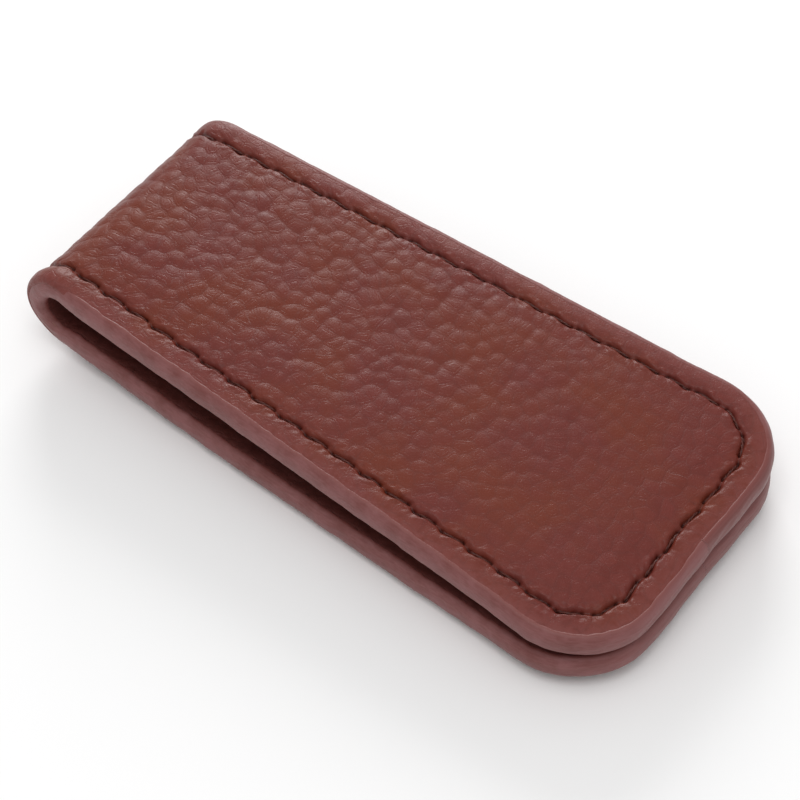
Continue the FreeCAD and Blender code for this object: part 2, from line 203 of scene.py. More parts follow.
def fold_columns(first, last, spacing):
    """Columns on the fold from first to last, with two ghosts beyond each end for the normals."""
    count = max(3, round(abs(last - first) / spacing))
    step = (last - first) / count
    s = first + step * np.arange(-2, count + 3)
    x = station(s)[0]
    pitch = (end_angle - start_angle) / FOLD_STITCHES
    phase = (np.mod(s / fold_radius / pitch, 1) - 0.5) * pitch / FOLD_STITCH_HALF
    zero = np.zeros_like(s)
    flare = FOLD_FLARE * np.sin(math.pi * np.clip(s / fold_run, 0, 1)) ** 2
    columns = Columns(s, -half_width(x) - flare, zero, zero + 1 / math.cos(taper), s.copy(), phase)
    columns.ghost[:2] = columns.ghost[-2:] = True
    return columns


def leg_line(leg, x):
    """s for an x on a leg: leg is -1 for the lower one and 1 for the upper one."""
    return hinges[0][0] - x if leg < 0 else fold_run + x - hinges[2][0]


def leg_columns(leg, spacing):
    """Columns of one leg: along the near side, round the corner and along the tip to its middle."""
    start_x = hinges[0][0] if leg < 0 else hinges[2][0]
    corner_x = half_length - CORNER_RADIUS
    corner_y = half_width(corner_x) - CORNER_RADIUS / math.cos(taper)
    side_end = corner_x - CORNER_RADIUS * math.sin(taper)
    side_x = np.linspace(start_x, side_end, round((side_end - start_x) / spacing) + 1)
    lean = taper * smooth(side_x, start_x, side_end)
    stretch = 1 / np.cos(taper - lean)
    arc = CORNER_RADIUS * (math.pi / 2 + taper)
    heading = np.linspace(-taper, math.pi / 2, round(arc / spacing) + 1)[1:]
    tip_y = np.linspace(-corner_y, 0, round(corner_y / spacing) + 1)[1:]
    x = np.concatenate(
        (side_x, corner_x + CORNER_RADIUS * np.sin(heading), np.full_like(tip_y, half_length))
    )
    y = np.concatenate((-half_width(side_x), -corner_y - CORNER_RADIUS * np.cos(heading), tip_y))
    in_x = np.concatenate((np.sin(lean) * stretch, -np.sin(heading), np.full_like(tip_y, -1)))
    in_y = np.concatenate((np.cos(lean) * stretch, np.cos(heading), np.zeros_like(tip_y)))
    spine_x = np.concatenate((side_x, np.full(len(heading) + len(tip_y), corner_x)))
    side_flare = SIDE_SHARE * smooth(side_x, side_end - SIDE_FLARE_RUN, side_end)
    arc_flare = SIDE_SHARE + ARC_SHARE * np.sin((heading + taper) * ARC_SWEEP)
    tip_flare = SIDE_SHARE * smooth(tip_y, 0, -TIP_FLARE_RUN)
    flare = CORNER_FLARE * np.concatenate((side_flare, arc_flare, tip_flare))
    x, y = x - flare * in_x, y - flare * in_y
    line_x, line_y = x + STITCH_INSET * in_x, y + STITCH_INSET * in_y
    run = np.concatenate(((0,), np.cumsum(np.hypot(np.diff(line_x), np.diff(line_y)))))
    run -= np.interp(fold_centre[0], line_x[: len(side_x)], run[: len(side_x)])
    pitch = run[-1] / round(run[-1] / STITCH_PITCH)
    phase = (np.mod(run / pitch, 1) - 0.5) * pitch / STITCH_HALF
    return Columns(leg_line(leg, x), y, leg * in_x, in_y, leg_line(leg, spine_x), phase)


def piece_columns(part, spacing):
    """Columns of the lower, fold or upper piece, which meet in the middle of the fold's segments."""
    if part == "fold":
        return fold_columns(fold_run / 4, fold_run * 3 / 4, spacing)
    leg = -1 if part == "lower" else 1
    split, hinge = (fold_run / 4, 0.0) if leg < 0 else (fold_run * 3 / 4, fold_run)
    bend = fold_columns(split, hinge, spacing).without_last(3)
    columns = bend.joined(leg_columns(leg, spacing))
    columns.ghost[:2] = True
    return columns


# ---------------------------------------------------------------- grain, folds and grooves


def seeds(seed):
    return np.random.default_rng(seed).random((3, 256, 256))


def cells(u, v, size, table, relief=0.0, tilt=0.0):
    """Cell pattern over (u, v): the distance to the nearest cell wall, each cell's own number, and
    soft domes 0 to about 1 high, each set a little higher, lower or aslant."""
    column, row = np.floor(u / size).astype(int), np.floor(v / size).astype(int)
    near = np.full(u.shape, 1e9)
    second = near.copy()
    seed_u, seed_v, next_u, next_v, number, bumps = (np.zeros(u.shape) for _ in range(6))
    for i in range(-2, 3):
        for j in range(-2, 3):
            at = (column + i) % 256, (row + j) % 256
            cu = (column + i + 0.12 + 0.76 * table[0][at]) * size
            cv = (row + j + 0.12 + 0.76 * table[1][at]) * size
            own = table[2][at]
            d = (u - cu) ** 2 + (v - cv) ** 2
            lean = (u - cu) * np.cos(own * 40) + (v - cv) * np.sin(own * 40)
            dome = 1 - d / (0.55 * size) ** 2 + relief * (own - 0.5) + tilt * lean / size
            bumps += np.exp(DOME_SHARPNESS * np.maximum(dome, -4))
            nearer = d < near
            runner_up = ~nearer & (d < second)
            next_u = np.where(nearer, seed_u, np.where(runner_up, cu, next_u))
            next_v = np.where(nearer, seed_v, np.where(runner_up, cv, next_v))
            second = np.where(nearer, near, np.where(runner_up, d, second))
            seed_u, seed_v = np.where(nearer, cu, seed_u), np.where(nearer, cv, seed_v)
            number = np.where(nearer, own, number)
            near = np.where(nearer, d, near)
    apart = np.hypot(seed_u - next_u, seed_v - next_v)
    return (second - near) / (2 * apart + 1e-9), number, np.log(bumps) / DOME_SHARPNESS


def waves(u, v, length, seed, count=6):
    """Smooth noise from -1 to 1 with features about length across."""
    draw = np.random.default_rng(seed)
    total = np.zeros(np.shape(u))
    for _ in range(count):
        angle, phase, scale = draw.random(3) * (math.tau, math.tau, 0.8)
        k = math.tau / (length * (0.7 + scale))
        total = total + np.sin(k * (u * math.cos(angle) + v * math.sin(angle)) + phase)
    return total / count * 1.6


PEBBLES, SCALES, PORES = seeds(11), seeds(23), seeds(37)


def pebble_grain(u, v, inset):
    """Height of the pebble grain in mm, how far each point is from a cell wall, and the cell."""
    warp_u = u + 0.25 * waves(u, v, 5.0, 1) + 0.07 * waves(u, v, 1.6, 2)
    warp_v = v + 0.25 * waves(u, v, 5.0, 3) + 0.07 * waves(u, v, 1.6, 4)
    wall, number, dome = cells(warp_u, warp_v, 1.72, PEBBLES, 0.35, 0.5)
    _, _, small = cells(warp_u + 3, 1.25 * warp_v + 5, 0.80, SCALES, 0.6, 0.3)
    along = np.where(u > fold_run, u - fold_run, 0)
    calm = (1 - 0.55 * smooth(along, 30, 70)) * (1 + 0.15 * waves(u, v, 11.0, 9))
    border = 1 - 0.65 * (1 - smooth(inset, 2.8, 5.2))
    edge = smooth(inset, 0.5, 1.6)
    height = 0.062 * dome + 0.007 * small
    return height * calm * border * edge, wall, number


def fine_grain(u, v):
    """Height of the lining's fine grain in mm, the distance from a cell wall, and the cell."""
    warp_u, warp_v = u + 0.15 * waves(u, v, 2.0, 5), v + 0.15 * waves(u, v, 2.0, 6)
    wall, number, dome = cells(warp_u, warp_v, 1.0, PORES, 0.4, 0.4)
    return 0.055 * dome, wall, number


def edge_roll(inset):
    """How far the face drops towards the border, where it rolls into the painted edge."""
    half = (INNER_FACE - OUTER_FACE) / 2
    t = np.clip((EDGE_ROLL - inset) / EDGE_ROLL, 0, 1)
    return half * (1 - (1 - t**EDGE_POWER) ** (1 / EDGE_POWER))


def seam(inset, phase, depth, width):
    """Depth of the sewn groove: deepest at the needle holes, shallow between two stitches."""
    away = inset - STITCH_INSET - SLANT * np.sin(math.pi * np.clip(phase / FULL_PHASE, -1, 1))
    between = smooth(np.abs(phase), 1.02, 1.3)
    hole = np.exp(-(((np.abs(phase) - 0.98) / 0.12) ** 2))
    profile = np.exp(-0.5 * (away / width) ** 2)
    sharp = np.exp(-0.5 * (away / (0.75 * width)) ** 2)
    return depth * profile * (1 - 0.3 * between) + 0.45 * depth * hole * sharp


def cover_face(s, y, inset, phase):
    """Depth of the outer leather's face, and its wall, cell and seam values for the material."""
    grain, wall, number = pebble_grain(s, y, inset)
    on_leg = smooth(np.maximum(-s, s - fold_run), -1.0, 6.0)
    puff = 0.10 * smooth(inset, 3.45, 4.3) + (0.02 + 0.14 * on_leg) * smooth(inset, 3.9, 9.0)
    ridge = 0.07 * np.exp(-(((inset - 2.1) / 0.8) ** 2))
    saddle = np.where(y < 0, NEAR_SADDLE, FAR_SADDLE) * (1 - smooth(inset, 1.6, 3.6))
    saddle = saddle - SADDLE_DIP * smooth(inset, 3.6, 6.0)
    ridge = ridge + saddle * (1 - smooth(np.maximum(-s, s - fold_run), -3.0, 3.0))
    swell = 0.05 * waves(s, y, 15.0, 7) * smooth(inset, 1.0, 5.0)
    beside = np.exp(-(((np.abs(inset - STITCH_INSET) - 0.6) / 0.42) ** 2))
    pucker = 0.06 * beside * np.cos(math.pi * np.clip(np.abs(phase), 0, 1.4))
    pull = 0.065 * beside * waves(s, y, 0.7, 12)
    loose = phase * (1 + 0.08 * waves(s, y, 5.0, 13))
    groove = seam(inset + 0.06 * waves(s, y, 1.4, 14), loose, COVER_GROOVE, COVER_GROOVE_WIDTH)
    quiet = 1 - 0.6 * np.exp(-(((inset - STITCH_INSET) / 0.5) ** 2))
    height = puff + ridge + swell + pucker + pull + grain * quiet
    sewn = np.clip(groove / COVER_GROOVE, 0, 1.3)
    return OUTER_FACE + 0.03 + edge_roll(inset) + groove - height, wall, number, sewn


def lining_face(s, y, inset, phase):
    """Depth of the lining's face, which looks into the gap, and its values for the material."""
    grain, wall, number = fine_grain(s, y)
    groove = seam(inset, phase, LINING_GROOVE, LINING_GROOVE_WIDTH)
    swell = 0.02 * waves(s, y, 12.0, 8) * smooth(inset, 1.0, 5.0)
    face = INNER_FACE - 0.03 - edge_roll(inset) - groove + swell + grain * smooth(inset, 0.3, 1.2)
    return face, wall, number, np.clip(groove / LINING_GROOVE, 0, 1.3)


# ---------------------------------------------------------------- meshes


def rows_to_spine(columns, insets, remaining):
    """Grid (columns, rows) of s, y, inset and phase: fixed insets first, then steps to the spine."""
    s = columns.s[:, None] + columns.along[:, None] * insets
    y = columns.y[:, None] + columns.across[:, None] * insets
    inset = np.broadcast_to(insets, s.shape)
    if remaining:
        share = np.arange(1, remaining + 1) / remaining
        last_s, last_y = s[:, -1:], y[:, -1:]
        s = np.hstack((s, last_s + (columns.spine[:, None] - last_s) * share))
        y = np.hstack((y, last_y * (1 - share)))
        away = np.hypot(columns.spine[:, None] - last_s, last_y)
        inset = np.hstack((inset, insets[-1] + away * share))
    phase = np.broadcast_to(columns.phase[:, None], s.shape)
    return s, y, inset, phase


def quads(columns, rows, offset=0, wrap=False):
    """Faces of a grid, as corner indices, with the column that each one starts at."""
    c, r = np.meshgrid(np.arange(columns - 1), np.arange(rows if wrap else rows - 1), indexing="ij")
    c, r = c.ravel(), r.ravel()
    up = (r + 1) % rows
    corners = (c * rows + r, (c + 1) * rows + r, (c + 1) * rows + up, c * rows + up)
    return np.stack(corners, axis=1) + offset, c


def zipped(first, first_at, second, second_at):
    """Triangles between two rows of points that start and end side by side."""
    faces, i, j = [], 0, 0
    while i < len(first) - 1 or j < len(second) - 1:
        take_first = j == len(second) - 1 or (i < len(first) - 1 and first_at[i + 1] <= second_at[j + 1])
        if take_first:
            faces.append((first[i], first[i + 1], second[j]))
            i += 1
        else:
            faces.append((first[i], second[j + 1], second[j]))
            j += 1
    return faces


def triangles(corners):
    return np.concatenate((corners[:, (0, 1, 2)], corners[:, (0, 2, 3)]))


def vertex_normals(points, faces):
    a, b, c = (points[faces[:, k]] for k in range(3))
    across = np.cross(b - a, c - a)
    normals = np.zeros_like(points)
    for k in range(3):
        np.add.at(normals, faces[:, k], across)
    return normals / (np.linalg.norm(normals, axis=1, keepdims=True) + 1e-12)


def make_mesh(name, points, faces, ghost_faces, values, material, lids=None):
    """A mesh object from points in mm and triangles, with the points that coincide made one.

    ghost_faces: triangles beyond the piece's ends, used only for the normals along them. lids:
    triangles that close its cut ends, left out of the normals so that the shading runs on over
    the cut. values: named numbers for each point, for the material."""
    _, first, index = np.unique(np.round(points, 4), axis=0, return_index=True, return_inverse=True)
    index = index.ravel()
    points = points[first]
    values = {key: value[first] for key, value in values.items()}
    faces, ghost_faces = index[faces], index[ghost_faces]

    def solid(f):
        return f[(f[:, 0] != f[:, 1]) & (f[:, 1] != f[:, 2]) & (f[:, 2] != f[:, 0])]

    faces, ghost_faces = solid(faces), solid(ghost_faces)
    normals = vertex_normals(points, np.concatenate((faces, ghost_faces)))
    if lids is not None and len(lids):
        faces = np.concatenate((faces, solid(index[lids])))
    used = np.unique(faces)
    renumber = np.zeros(len(points), int)
    renumber[used] = np.arange(len(used))
    points, normals, faces = points[used], normals[used], renumber[faces]
    mesh = bpy.data.meshes.new(name)
    mesh.vertices.add(len(points))
    mesh.vertices.foreach_set("co", (points * MM).astype(np.float32).ravel())
    mesh.loops.add(3 * len(faces))
    mesh.loops.foreach_set("vertex_index", faces.astype(np.int32).ravel())
    mesh.polygons.add(len(faces))
    mesh.polygons.foreach_set("loop_start", np.arange(0, 3 * len(faces), 3, dtype=np.int32))
    mesh.update(calc_edges=True)
    mesh.validate()
    mesh.polygons.foreach_set("use_smooth", np.ones(len(mesh.polygons), bool))
    for key, value in values.items():
        value = value[used]
        kind, field = ("FLOAT_VECTOR", "vector") if value.ndim == 2 else ("FLOAT", "value")
        attribute = mesh.attributes.new(key, kind, "POINT")
        attribute.data.foreach_set(field, value.astype(np.float32).ravel())
    if len(mesh.vertices) == len(points):
        mesh.normals_split_custom_set_from_vertices(normals.tolist())
    obj = bpy.data.objects.new(name, mesh)
    bpy.context.scene.collection.objects.link(obj)
    mesh.materials.append(material)
    return obj


def strip_values(s, y, wall, number, sewn, inset):
    flat = [np.asarray(v, float).ravel() for v in (s, y, wall, number, sewn, inset)]
    return {
        "strip": np.stack((flat[0], flat[1], 0 * flat[0]), axis=1),
        "wall": flat[2],
        "cell": flat[3],
        "sewn": flat[4],
        "inset": flat[5],
    }


def leather_shell(name, columns, insets, remaining, face, back, material, outward):
    """One closed piece of leather: a detailed face, a plain back and the rim between them.

    outward is 1 where the face is the strip's outside, and -1 where it looks into the gap."""
    back_insets = insets[:: max(1, len(insets) // 4)]
    points, faces, ghosts, values, lids = [], [], [], [], []
    start = 0
    for side in (1, -1):
        s, y, inset, phase = rows_to_spine(columns, insets, remaining)
        depth, wall, number, sewn = face(s, side * y, inset, phase)
        points.append(place(s.ravel(), side * y.ravel(), depth.ravel()))
        values.append(strip_values(s, side * y, wall, number, sewn, inset))
        front, at = quads(*s.shape, offset=start)
        front_start, rows = start, s.shape[1]
        start += s.size
        s, y, inset, phase = rows_to_spine(columns, back_insets, 3)
        deep = back + 0 * s
        points.append(place(s.ravel(), side * y.ravel(), deep.ravel()))
        values.append(strip_values(s, side * y, 0 * s, 0 * s, 0 * s, inset))
        rear, rear_at = quads(*s.shape, offset=start)
        rear_start, rear_rows = start, s.shape[1]
        start += s.size
        c = np.arange(len(columns.s) - 1)
        rim = np.stack(
            (
                front_start + (c + 1) * rows,
                front_start + c * rows,
                rear_start + c * rear_rows,
                rear_start + (c + 1) * rear_rows,
            ),
            axis=1,
        )
        all_quads = np.concatenate((front, rear[:, ::-1], rim))
        column = np.concatenate((at, rear_at, c))
        dead = columns.ghost[column] | columns.ghost[column + 1]
        on_face = np.arange(len(dead)) < len(front)
        whole, ghost = triangles(all_quads[~dead]), triangles(all_quads[dead & on_face])
        caps = []
        for edge in np.flatnonzero(np.diff(columns.ghost.astype(int))):
            at_column = edge + 1 if columns.ghost[edge] else edge
            first = front_start + at_column * rows + np.arange(rows)
            second = rear_start + at_column * rear_rows + np.arange(rear_rows)
            first_at = np.abs(points[-2][first - front_start, 1])
            second_at = np.abs(points[-1][second - rear_start, 1])
            cap = np.array(zipped(first, -first_at, second, -second_at))
            caps.append(cap if columns.ghost[edge] else cap[:, ::-1])
        lid = np.concatenate((whole[:0], *caps))
        turn = side * outward * (1 if columns.s[-1] < columns.s[0] else -1)
        faces.append(whole if turn > 0 else whole[:, ::-1])
        lids.append(lid if turn > 0 else lid[:, ::-1])
        ghosts.append(ghost if turn > 0 else ghost[:, ::-1])
    merged = {key: np.concatenate([v[key] for v in values]) for key in values[0]}
    whole, ghost, lid = (np.concatenate(group) for group in (faces, ghosts, lids))
    return make_mesh(name, np.concatenate(points), whole, ghost, merged, material, lid)


def edge_shell(name, columns, material):
    """The painted edge: a smooth skin that wraps round the border from the cover to the lining."""
    outer_rows, inner_rows = 26, 7
    points, faces, ghosts, values, lids = [], [], [], [], []
    start = 0
    half = (INNER_FACE - OUTER_FACE) / 2
    middle = (INNER_FACE + OUTER_FACE) / 2
    for side in (1, -1):
        s, y = columns.s[:, None], side * columns.y[:, None]
        reach = 0.90 + 0.045 * waves(s, y, 6.0, 31) + 0.03 * waves(s, y, 1.7, 32)
        angle = np.linspace(-1, 1, outer_rows)[None, :] * reach * math.pi / 2
        power = 2 / EDGE_POWER
        rise = np.sign(np.sin(angle)) * np.abs(np.sin(angle)) ** power
        recess = EDGE_ROLL * (1 - np.abs(np.cos(angle)) ** power)
        end = np.clip(1 - np.abs(np.linspace(-1, 1, outer_rows)), 0, 1)
        film = 0.075 * smooth(end, -0.02, 0.22) - 0.015
        bulge = 0.07 * waves(s, y, 8.0, 33) + 0.03 * waves(s, y, 2.6, 34) + 0.012 * waves(s, y, 0.9, 35)
        lobe = 0.03 * waves(s + 4 * angle, y + 3 * angle, 3.1, 36)
        inset = recess - (film + bulge * smooth(end, 0, 0.4) + lobe * smooth(end, 0, 0.3)) * np.cos(angle)
        depth = middle + rise * half + film * np.sin(angle)
        back_angle = np.linspace(1, -1, inner_rows)[None, :] * 0.86 * math.pi / 2 + 0 * s
        back_inset = EDGE_ROLL * (1 - np.abs(np.cos(back_angle)) ** power) + 0.22
        back_depth = middle + 0.86 * half * np.sin(back_angle)
        inset, depth = np.hstack((inset, back_inset)), np.hstack((depth, back_depth))
        grid_s = s + columns.along[:, None] * inset
        grid_y = side * (columns.y[:, None] + columns.across[:, None] * inset)
        points.append(place(grid_s.ravel(), grid_y.ravel(), depth.ravel()))
        share = np.hstack((np.broadcast_to(end, angle.shape), 0 * back_angle))
        values.append(strip_values(s + 0 * depth, depth + 40 * side, share, share, 0 * share, inset))
        rows = outer_rows + inner_rows
        corners, at = quads(len(columns.s), rows, offset=start, wrap=True)
        dead = columns.ghost[at] | columns.ghost[at + 1]
        whole, ghost = triangles(corners[~dead]), triangles(corners[dead])
        caps = []
        for edge in np.flatnonzero(np.diff(columns.ghost.astype(int))):
            at_column = edge + 1 if columns.ghost[edge] else edge
            ring = start + at_column * rows + np.arange(rows)
            first, second = ring[:outer_rows], ring[outer_rows:][::-1]
            first_at = np.linspace(0, 1, len(first))
            second_at = np.linspace(0, 1, len(second))
            cap = np.array(zipped(first, first_at, second, second_at))
            caps.append(cap[:, ::-1] if columns.ghost[edge] else cap)
        lid = np.concatenate((whole[:0], *caps))
        start += len(columns.s) * rows
        turn = side * (1 if columns.s[-1] < columns.s[0] else -1)
        faces.append(whole[:, ::-1] if turn > 0 else whole)
        lids.append(lid[:, ::-1] if turn > 0 else lid)
        ghosts.append(ghost[:, ::-1] if turn > 0 else ghost)
    merged = {key: np.concatenate([v[key] for v in values]) for key in values[0]}
    whole, ghost, lid = (np.concatenate(group) for group in (faces, ghosts, lids))
    return make_mesh(name, np.concatenate(points), whole, ghost, merged, material, lid)


# ---------------------------------------------------------------- stitches


def leg_seam(leg):
    """Middle of each stitch along one leg's seam, and a function for the points beside it."""
    columns = leg_columns(leg, 0.1)
    s = columns.s + columns.along * STITCH_INSET
    y = columns.y + columns.across * STITCH_INSET
    s, y = np.concatenate((s, s[-2::-1])), np.concatenate((y, -y[-2::-1]))
    run = np.concatenate(((0,), np.cumsum(np.hypot(np.diff(s), np.diff(y)))))
    side = len(columns.s) // 2
    first = np.interp(abs(leg_line(leg, fold_centre[0]) - s[0]), np.abs(s[:side] - s[0]), run[:side])
    length = run[-1] - 2 * first
    count = 2 * round(length / STITCH_PITCH / 2)
    middles = first + (np.arange(count) + 0.5) * length / count
    return middles, lambda at: (np.interp(at, run, s), np.interp(at, run, y))


def fold_seam(numbers):
    """The fold's stitches with these numbers, on both borders."""
    pitch = fold_run / FOLD_STITCHES
    middles = (np.array(numbers) + 0.5) * pitch
    found = []
    for side in (-1, 1):
        found.append((middles, lambda at, side=side: (at, side * fold_line(at))))
    return found


def fold_line(s):
    return half_width(station(s)[0]) - STITCH_INSET / math.cos(taper)


def stitch(points, outward, radius):
    """Points of one stitch, a rope of three strands along a line."""
    along = np.gradient(points, axis=0)
    along /= np.linalg.norm(along, axis=1, keepdims=True)
    across = np.cross(along, outward)
    across /= np.linalg.norm(across, axis=1, keepdims=True)
    up = np.cross(across, along)
    count, ring = len(points), 18
    run = np.concatenate(((0,), np.cumsum(np.linalg.norm(np.diff(points, axis=0), axis=1))))
    angle = np.linspace(0, math.tau, ring, endpoint=False)[None, :]
    strand = np.abs(np.cos(1.5 * (angle - run[:, None] * math.tau / 2.4)))
    size = radius * (0.80 + 0.26 * strand)
    ends = np.sin(np.linspace(0.12, math.pi - 0.12, count)) ** 0.25
    size = size * ends[:, None]
    body = (
        points[:, None]
        + across[:, None] * (size * np.cos(angle))[:, :, None]
        + up[:, None] * (0.9 * size * np.sin(angle))[:, :, None]
    )
    start, end = points[:1] - along[:1] * 0.05, points[-1:] + along[-1:] * 0.05
    vertices = np.concatenate((body.reshape(-1, 3), start, end))
    grid, _ = quads(count, ring, wrap=True)
    faces = [triangles(grid)[:, ::-1]]
    first, last = np.arange(ring), (count - 1) * ring + np.arange(ring)
    faces.append(np.stack((np.full(ring, count * ring), first, np.roll(first, -1)), axis=1)[:, ::-1])
    faces.append(np.stack((np.full(ring, count * ring + 1), np.roll(last, -1), last), axis=1)[:, ::-1])
    depth = np.concatenate((np.repeat(run, ring), (0, run[-1])))
    shade = np.concatenate((strand.ravel(), (0.5, 0.5)))
    return vertices, np.concatenate(faces), depth, shade


def thread_piece(name, seams, face_depth, sink, radius, outward, half, material, seed):
    """All the stitches of one piece of thread, each one dipping into its needle holes."""
    draw = np.random.default_rng(seed)
    points, faces, runs, shades, count = [], [], [], [], 0
    for (middles, line), reach in zip(seams, half):
        for middle in middles:
            t = np.linspace(-1.12, 1.12, 21)
            slip, twist, lift = draw.normal(0, (0.04, 0.07, 0.03))
            s, y = line(middle + t * reach)
            y = y + (slip + twist * t) * np.sign(y + 1e-9)
            dip = sink + 0.10 * t**2 + 0.9 * np.clip(np.abs(t) - 0.84, 0, 1) ** 1.5 * 4 - lift
            depth = face_depth + outward * dip
            centre = place(s, y, depth)
            normal = place(s, y, depth - outward) - centre
            v, f, run, shade = stitch(centre, normal, radius * (1 + draw.normal(0, 0.03)))
            points.append(v)
            faces.append(f + count)
            runs.append(run)
            shades.append(shade)
            count += len(v)
    run, shade = np.concatenate(runs), np.concatenate(shades)
    # The strand profile goes in as wall and cell; the thread's material paints shade between the strands from it.
    values = strip_values(run, np.concatenate(points)[:, 1], shade, shade, 0 * shade, 0 * shade)
    no_ghosts = np.zeros((0, 3), int)
    return make_mesh(name, np.concatenate(points), np.concatenate(faces), no_ghosts, values, material)


# ---------------------------------------------------------------- materials


class Nodes:
    """A material's node tree, built a node at a time."""

    def __init__(self, name):
        self.material = bpy.data.materials.new(name)
        self.material.use_nodes = True
        self.tree = self.material.node_tree
        self.tree.nodes.clear()
        self.shader = self.add("ShaderNodeBsdfPrincipled")
        output = self.add("ShaderNodeOutputMaterial")
        self.link(self.shader.outputs["BSDF"], output.inputs["Surface"])

    def add(self, kind, inputs=(), **settings):
        node = self.tree.nodes.new(kind)
        for key, value in settings.items():
            setattr(node, key, value)
        for key, value in dict(inputs).items():
            if isinstance(value, bpy.types.NodeSocket):
                self.link(value, node.inputs[key])
            else:
                node.inputs[key].default_value = value
        return node

    def link(self, output, socket):
        self.tree.links.new(output, socket)

    def value(self, name):
        return self.add("ShaderNodeAttribute", attribute_name=name).outputs["Fac"]

    def vector(self, name):
        return self.add("ShaderNodeAttribute", attribute_name=name).outputs["Vector"]

    def math(self, operation, first, second=0.0, clamp=False):
        node = self.add("ShaderNodeMath", {0: first, 1: second}, operation=operation, use_clamp=clamp)
        return node.outputs[0]

    def span(self, value, low, high, to_low=0.0, to_high=1.0):
        inputs = {"Value": value, "From Min": low, "From Max": high, "To Min": to_low, "To Max": to_high}
        return self.add("ShaderNodeMapRange", inputs).outputs["Result"]

    def noise(self, vector, scale, detail=3.0, roughness=0.55):
        inputs = {"Vector": vector, "Scale": scale, "Detail": detail, "Roughness": roughness}
        return self.add("ShaderNodeTexNoise", inputs).outputs["Fac"]

    def cells(self, vector, scale):
        inputs = {"Vector": vector, "Scale": scale}
        return self.add("ShaderNodeTexVoronoi", inputs, feature="DISTANCE_TO_EDGE").outputs["Distance"]

    def stretched(self, vector, scale):
        node = self.add("ShaderNodeVectorMath", {0: vector, 1: scale}, operation="MULTIPLY")
        return node.outputs["Vector"]

    def mix(self, share, first, second):
        node = self.add("ShaderNodeMix", data_type="RGBA")
        for socket, value in ((node.inputs[0], share), (node.inputs[6], first), (node.inputs[7], second)):
            if isinstance(value, bpy.types.NodeSocket):
                self.link(value, socket)
            else:
                socket.default_value = (*value, 1) if isinstance(value, tuple) else value
        return node.outputs[2]

    def bump(self, height, distance_mm):
        inputs = {"Height": height, "Distance": distance_mm * MM, "Strength": 1.0}
        return self.add("ShaderNodeBump", inputs).outputs["Normal"]

    def set(self, **inputs):
        for key, value in inputs.items():
            socket = self.shader.inputs[key.replace("_", " ")]
            if isinstance(value, bpy.types.NodeSocket):
                self.link(value, socket)
            else:
                socket.default_value = (*value, 1) if isinstance(value, tuple) else value


def leather(name, light, dark, warm, crease_shade_colour, worn_colour, roughness, wrinkle_mm):
    """Drum-dyed leather, warmer in broad patches and paler where the border is rubbed, with painted shade in its
    creases along the cell walls and in the sewn groove, and fine wrinkles that follow the cell walls."""
    n = Nodes(name)
    strip = n.vector("strip")
    wall, cell, sewn, inset = (n.value(v) for v in ("wall", "cell", "sewn", "inset"))
    cloud = n.noise(strip, 0.09, 3.0)
    mottle = n.noise(strip, 1.1, 4.0)
    fine = n.noise(strip, 5.5, 4.0, 0.6)
    tone = n.math("MULTIPLY", n.span(mottle, 0.3, 0.7), 0.6)
    tone = n.math("ADD", tone, n.math("MULTIPLY", cell, 0.4), clamp=True)
    colour = n.mix(tone, dark, light)
    colour = n.mix(n.span(cloud, 0.42, 0.62, 0.0, 0.7), colour, warm)
    worn = n.math("MULTIPLY", n.span(inset, 2.9, 0.6), n.span(mottle, 0.2, 0.5), clamp=True)
    colour = n.mix(n.math("MULTIPLY", worn, 0.85), colour, worn_colour)
    crease = n.span(wall, 0.22, 0.0)
    # Painted shade: darker near the cell walls, where the grain's creases lie in shade, and darker still in the
    # sewn groove.
    colour = n.mix(n.math("MULTIPLY", crease, 0.15), colour, crease_shade_colour)
    colour = n.mix(n.span(sewn, 0.45, 1.1, 0.0, 0.8), colour, tuple(c * 0.45 for c in crease_shade_colour))
    wander = n.math("MULTIPLY", n.noise(strip, 1.6, 2.0), 0.34)
    rings = n.math("FRACT", n.math("MULTIPLY", n.math("ADD", wall, wander), 2.7))
    rings = n.math("SUBTRACT", 1.0, n.span(n.math("ABSOLUTE", n.math("SUBTRACT", rings, 0.5)), 0.0, 0.26))
    patches = n.math("MULTIPLY", n.span(wall, 0.80, 0.25), n.span(mottle, 0.38, 0.58))
    rings = n.math("MULTIPLY", rings, patches)
    wrinkle = n.noise(n.stretched(strip, (2.2, 6.5, 1.0)), 1.0, 3.0, 0.6)
    across = n.noise(n.stretched(strip, (6.0, 1.8, 1.0)), 1.0, 3.0, 0.6)
    pores = n.span(n.cells(strip, 2.6), 0.0, 0.14)
    towards_tip = n.math("ABSOLUTE", n.add("ShaderNodeSeparateXYZ", {"Vector": strip}).outputs["X"])
    rings = n.math("MULTIPLY", rings, n.span(towards_tip, 30.0, 70.0, 1.0, 0.45))
    height = n.math("ADD", rings, n.math("MULTIPLY", pores, 0.2))
    height = n.math("ADD", height, n.math("MULTIPLY", n.math("ADD", wrinkle, across), 0.18))
    height = n.math("ADD", height, n.math("MULTIPLY", fine, 0.25))
    gloss = n.span(fine, 0.3, 0.7, roughness, roughness + 0.1)
    gloss = n.math("ADD", gloss, n.math("MULTIPLY", crease, 0.1))
    n.set(Base_Color=colour, Roughness=gloss, Normal=n.bump(height, wrinkle_mm))
    n.set(Specular_IOR_Level=0.22)
    return n.material


